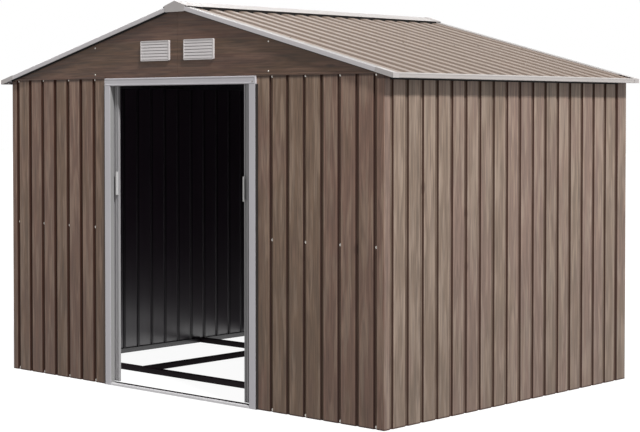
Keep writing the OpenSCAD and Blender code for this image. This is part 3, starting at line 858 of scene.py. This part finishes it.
for body, way, board_number in (("left_door", 1, 160), ("right_door", -1, 170)):
    node = body + "_panel"
    low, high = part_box(node)
    width = high.x - low.x
    count = int((width - groove) / pitch)
    first = (width + trim_sheet - (count - 1) * pitch) / 2
    tail = low.x if way > 0 else high.x

    def door_place(across, depth, along, tail=tail, way=way, face=low.y):
        return (tail + way * across, face + depth, along)

    piece = folded(node + "_sheet", grooved_line(width, first, count), sheet, sheet_bend,
                   (low.z, high.z), door_place, [front_shade_print, inner_coat])
    lay_print(piece, lambda point: abs(point.x - tail) - first, height, board_number * pitch)
    fit(piece, body, "wall_sheet", node)
    softened(body + "_frame", frame_edge, frame_paint, body, "trim")
    softened(body + "_handle", handle_edge, door_plastic, body, "moulding")
    softened(body + "_hangers", hanger_edge, door_plastic, body, "moulding")


# Roof. A box beam runs along the ridge with a purlin under each slope. The roof
# sheets have wide raised ribs and are screwed down through the ribs' crests.

beam_edge = 0.0008
for beam in ("ridge_beam", "purlins"):
    softened(beam, beam_edge, rail_steel)

slope = math.radians(14.5)
trim_height = 0.022
edge_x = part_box("roof_corners")[1].x
edge_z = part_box("eave_trim_right")[0].z + trim_height


def on_slope(side):
    """Places on one slope: along the house, up from the outer plane, and up the slope."""
    def place(across, rise, along):
        return (side * (edge_x - along * math.cos(slope) + rise * math.sin(slope)),
                across, edge_z + along * math.sin(slope) + rise * math.cos(slope))
    return place


rib_pitch = 0.1015
rib_height = 0.010
rib_sink = 0.005
rib_foot = 0.066
rib_crest = 0.044
first_rib = 0.0873
roof_bend = 0.005
trim_thick = 0.0012
cap_thick = 0.0015
roof_low, roof_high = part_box("roof_sheet_right")
rib_count = int((roof_high.y - roof_low.y - first_rib) / rib_pitch) + 1


def roof_paint(name, crest, trough, rust):
    """Tan stoved paint with painted shade off the crests and faint streaks down the slope."""
    coat = Finish(name, specular_ior_level=0.35)
    across = coat.node("SeparateXYZ", {}, {"Vector": coat.node("UVMap", {"uv_map": "print"})})
    off_crest = abs(across % rib_pitch - rib_pitch / 2)
    # Darker off the crests, in the troughs and on the ribs' sides: painted shade.
    painted_trough_shade = coat.ease(off_crest, rib_crest / 2 - 0.005, rib_crest / 2 + 0.004)
    place = coat.node("CombineXYZ", {}, {"X": across * 40.0, "Y": across.other("Y") * 2.5})
    streak = coat.cloud(place, detail=4.0)
    cloud = coat.cloud(coat.at(3, 3, 3), detail=3.0)
    colour = coat.blend(crest, trough, painted_trough_shade)
    colour = coat.shade(colour, 0.86 + streak * 0.16 + cloud * 0.12)
    colour = coat.blend(colour, rust, coat.ease(cloud + streak * 0.4, 0.80, 1.0) * 0.15)
    coat.wear(base_color=colour, roughness=0.42 + streak * 0.14)
    coat.dent(streak, 0.0004, 0.3)
    return coat.material


roof_tan = roof_paint("roof_tan", paint((141, 124, 112)), paint((120, 105, 94)),
                      paint((140, 104, 80)))

roof_screws = []
crest_top = -trim_thick - rib_sink
trough_top = crest_top - rib_height
bottom = trough_top - sheet / 2

for node, side in (("roof_sheet_left", -1), ("roof_sheet_right", 1)):
    low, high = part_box(node)
    line = [(low.y, bottom)]
    for i in range(rib_count):
        middle = low.y + first_rib + i * rib_pitch
        line += [(middle - rib_foot / 2, bottom), (middle - rib_crest / 2, bottom + rib_height),
                 (middle + rib_crest / 2, bottom + rib_height), (middle + rib_foot / 2, bottom)]
    line.append((high.y, bottom))
    down = cap_thick + trim_thick
    up = down + (high.x - low.x - (rib_height + sheet) * math.sin(slope)) / math.cos(slope)
    piece = folded(node + "_sheet", line[::-1], sheet, roof_bend, (down, up), on_slope(side),
                   [roof_tan, inner_coat])
    lay_print(piece, lambda point: point.y - low.y - first_rib + rib_pitch / 2,
              lambda point: abs(point.x), 30 * rib_pitch)
    fit(piece, "shed", "roof_sheet", node)
    out = Vector((side * math.sin(slope), 0, math.cos(slope)))
    for i in range(0, rib_count, 2):
        spot = on_slope(side)(low.y + first_rib + i * rib_pitch, crest_top,
                              edge_x / math.cos(slope) / 2)
        roof_screws.append((spot, out))

screw_dull = zinc_coat("screw_dull", paint((132, 122, 114)), paint((156, 146, 137)), 0.45)
drive_screws("roof_screws", roof_screws, screw_dull)


# Roof trims. Folded strips of painted steel close the eaves and the rakes, and
# moulded caps cover the corners where they meet. Black strips in the gaps between the
# walls and the roof are painted shade.

roof_trim = trim_paint("roof_trim", paint((178, 172, 169)), paint((190, 184, 181)), 0.34)
rake_trim = trim_paint("rake_trim", paint((201, 196, 198)), paint((213, 208, 209)), 0.34)
# The rakes' top flange takes this darker copy of the trim paint, and their inner lip the darker
# eave paint: painted shade. The bend between keeps the lighter paint, a painted highlight.
flange_shade_trim = trim_paint("flange_shade_trim", paint((152, 148, 146)), paint((164, 160, 157)), 0.38)
# Near-black strips put in the gaps between walls, trims and roof: painted shade for the dark of
# those gaps.
shade_foam = moulded("shade_foam", paint((14, 12, 12)), paint((22, 20, 19)), 0.85)
eave_fold = 0.010
eave_foot = 0.014
eave_bead = 0.005
rake_lip = 0.003
rake_head = 0.062
flange_level = 0.95
trim_fold = 0.0022
half_thin = trim_thick / 2
strip_thick = 0.006
strip_foot = 0.0265
strip_gap = 0.0004

for node, side in (("eave_trim_left", -1), ("eave_trim_right", 1)):
    low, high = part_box(node)
    face = edge_x - cap_thick - half_thin
    foot = low.z + half_thin
    top = edge_z - half_thin - cap_thick * math.tan(slope)
    line = [(face - eave_foot + half_thin, foot), (face, foot), (face, foot + eave_bead),
            (face - half_thin, foot + eave_bead + half_thin),
            (face - half_thin, top - eave_bead - half_thin), (face, top - eave_bead),
            (face, top), (face - eave_fold * math.cos(slope), top + eave_fold * math.sin(slope))]
    piece = folded(node + "_fold", line, trim_thick, trim_fold, (low.y, high.y),
                   lambda across, rise, along, side=side: (side * across, along, rise),
                   [roof_trim, roof_trim])
    fit(piece, "shed", "trim", node)

rake_shade_foam = bmesh.new()
strip_y = abs(gable_low.y) + strip_thick / 2 + hair_gap
strip_span = ((edge_x - gable_high.x) / math.cos(slope), (edge_x - strip_foot) / math.cos(slope))
for node, end in (("front_rake_trims", -1), ("back_rake_trims", 1)):
    low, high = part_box(node)
    face = max(abs(low.y), abs(high.y)) - half_thin
    flange = min(abs(low.y), abs(high.y))
    down = (edge_x - high.x) / math.cos(slope)
    up = (edge_x - rake_head) / math.cos(slope)
    rakes = bmesh.new()
    for side in (-1, 1):
        slope_place = on_slope(side)

        def rake_place(across, rise, along, slope_place=slope_place, end=end):
            return slope_place(end * across, rise, along)

        fold_into(rakes, [(face + half_thin - rake_lip, -trim_height + half_thin),
                          (face, -trim_height + half_thin),
                          (face, -half_thin), (flange + half_thin, -half_thin),
                          (flange + half_thin, trough_top)],
                  trim_thick, trim_fold, (down, up), rake_place)
        fold_into(rake_shade_foam, [(strip_y, trough_top - sheet - strip_gap), (strip_y, -strip_foot)],
                  strip_thick, trim_fold, strip_span, rake_place)
    piece = make_piece(node + "_fold", rakes, [rake_trim, rake_trim, flange_shade_trim, roof_trim])
    # The flange and the inner lip take darker paint than the face: painted shade.
    for skin in piece.data.polygons:
        if abs(skin.normal.z) > flange_level:
            skin.material_index = 2
        elif abs(skin.center.y) < flange + trim_fold:
            skin.material_index = 3
    fit(piece, "shed", "trim", node)
fit(make_piece("rake_shade_foam", rake_shade_foam, [shade_foam, shade_foam]), "shed", "moulding")

eave_strip = (0.026, 0.001)
eave_shade_foam = bmesh.new()
side_low, side_high = wall_boxes["right_wall"]
for side in (-1, 1):
    strip_x = side * (side_high.x + strip_thick / 2 + hair_gap)
    fold_into(eave_shade_foam, [(strip_x, side_high.z - drop) for drop in eave_strip],
              strip_thick, trim_fold, (side_low.y, side_high.y), along_y)
fit(make_piece("eave_shade_foam", eave_shade_foam, [shade_foam, shade_foam]), "shed", "moulding")

cap_plastic = moulded("cap_plastic", paint((180, 174, 172)), paint((194, 188, 186)), 0.40)
corner_edge = 0.0006
softened("roof_corners", corner_edge, cap_plastic, slot="moulding")


# Ridge. A folded cap covers the gap between the slopes, and a moulded cap closes each
# end of it over the gable. Black blocks in the ribs of the roof under the cap's edges
# are painted shade.

ridge_low, ridge_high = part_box("ridge_cap")
ridge_bend = 0.006
ridge_line = [(ridge_low.x, ridge_low.z + half_thin), (0, ridge_high.z - half_thin),
              (ridge_high.x, ridge_low.z + half_thin)]
piece = folded("ridge_cap_fold", ridge_line, trim_thick, ridge_bend,
               (ridge_low.y, ridge_high.y), along_y, [roof_trim, roof_trim])
fit(piece, "shed", "trim", "ridge_cap")
cap_edge = 0.0007
softened("ridge_end_caps", cap_edge, cap_plastic, slot="moulding")

shade_foam_in = 0.007
shade_foam_wide = 0.008
shade_foam_x = ridge_high.x - shade_foam_in
cap_fall = (ridge_high.z - trim_thick - ridge_low.z) / ridge_high.x
shade_foam_up = (edge_x - shade_foam_x) / math.cos(slope)
shade_foam_lift = ridge_low.z + shade_foam_in * cap_fall - edge_z - shade_foam_up * math.sin(slope)
shade_foam_top = shade_foam_lift * math.cos(slope)
ridge_shade_foam = bmesh.new()
for side in (-1, 1):
    slope_place = on_slope(side)
    blocks = [(roof_low.y, roof_high.y, crest_top, shade_foam_top)]
    for i in range(rib_count):
        start = roof_low.y + first_rib + i * rib_pitch + rib_foot / 2
        stop = min(start + rib_pitch - rib_foot, roof_high.y)
        blocks.append((start, stop, trough_top, crest_top))
    for start, stop, foot, head in blocks:
        fold_into(ridge_shade_foam, [(shade_foam_up, foot), (shade_foam_up, head)], shade_foam_wide, trim_fold,
                  (start, stop), lambda up, rise, across: slope_place(across, rise, up))
fit(make_piece("ridge_shade_foam", ridge_shade_foam, [shade_foam, shade_foam]), "shed", "moulding")


# The room for the picture: a plain pale floor that fades into a white background, one
# soft lamp from the right, and a weak one from behind that opens up the far sides.

def stage_light(board, shown, unshown):
    """White wherever the lens or a reflection looks, and something else for the rest."""
    path = board.node("LightPath")
    seen = path
    for name in ("Is Glossy Ray", "Is Transmission Ray"):
        seen = seen.maths("MAXIMUM", seen, path.other(name))
    return board.node("MixShader", {}, {0: seen, 1: unshown, 2: shown})


world = bpy.data.worlds.new("room")
bpy.context.scene.world = world
backdrop = Board(world)
white_wall = backdrop.node("Background", {}, {"Color": (1, 1, 1)})
soft_wall = backdrop.node("Background", {}, {"Color": (0.25, 0.25, 0.25)})
backdrop.node("OutputWorld", {}, {"Surface": stage_light(backdrop, white_wall, soft_wall)})

floor_mesh = bpy.data.meshes.new("room_floor")
floor_half = 40.0
floor_mesh.from_pydata([(-floor_half, -floor_half, 0), (floor_half, -floor_half, 0),
                        (floor_half, floor_half, 0), (-floor_half, floor_half, 0)],
                       [], [(0, 1, 2, 3)])
room_floor = bpy.data.objects.new("room_floor", floor_mesh)
bpy.context.scene.collection.objects.link(room_floor)
floor_look = bpy.data.materials.new("room_floor")
ground = Board(floor_look)
glow = ground.node("Emission", {}, {"Color": (1, 1, 1), "Strength": 0.95})
shadow_side = ground.node("BsdfDiffuse", {}, {"Color": (0.14, 0.14, 0.14)})
lit = ground.node("AddShader", {}, {0: glow, 1: shadow_side})
plain = ground.node("BsdfDiffuse", {}, {"Color": (0.38, 0.38, 0.38)})
ground.node("OutputMaterial", {}, {"Surface": stage_light(ground, lit, plain)})
floor_mesh.materials.append(floor_look)


def lamp(name, towards, strength, softness):
    """A distant lamp that shines from a direction, with soft-edged shadows."""
    light = bpy.data.lights.new(name, "SUN")
    light.energy = strength
    light.angle = math.radians(softness)
    holder = bpy.data.objects.new(name, light)
    holder.rotation_mode = "QUATERNION"
    holder.rotation_quaternion = Vector(towards).to_track_quat("Z", "Y")
    bpy.context.scene.collection.objects.link(holder)


lamp("main_lamp", (0.63, -0.215, 0.745), 1.12 * math.pi, 6)
lamp("back_lamp", (-0.75, 0.45, 0.48), 0.40 * math.pi, 30)

swing = math.radians(42.534)
dip = math.radians(1.575)
distance = 8.75
aim = Vector((0.0435, 0.0111, 1.1478))
away = Vector((math.sin(swing) * math.cos(dip), -math.cos(swing) * math.cos(dip), math.sin(dip)))
lens = bpy.data.cameras.new("camera")
lens.lens = 93.5
lens.shift_y = -0.0927
camera = bpy.data.objects.new("camera", lens)
camera.location = aim + away * distance
camera.rotation_mode = "QUATERNION"
camera.rotation_quaternion = away.to_track_quat("Z", "Y")
bpy.context.scene.collection.objects.link(camera)
bpy.context.scene.camera = camera
bpy.context.scene.view_settings.view_transform = "Standard"
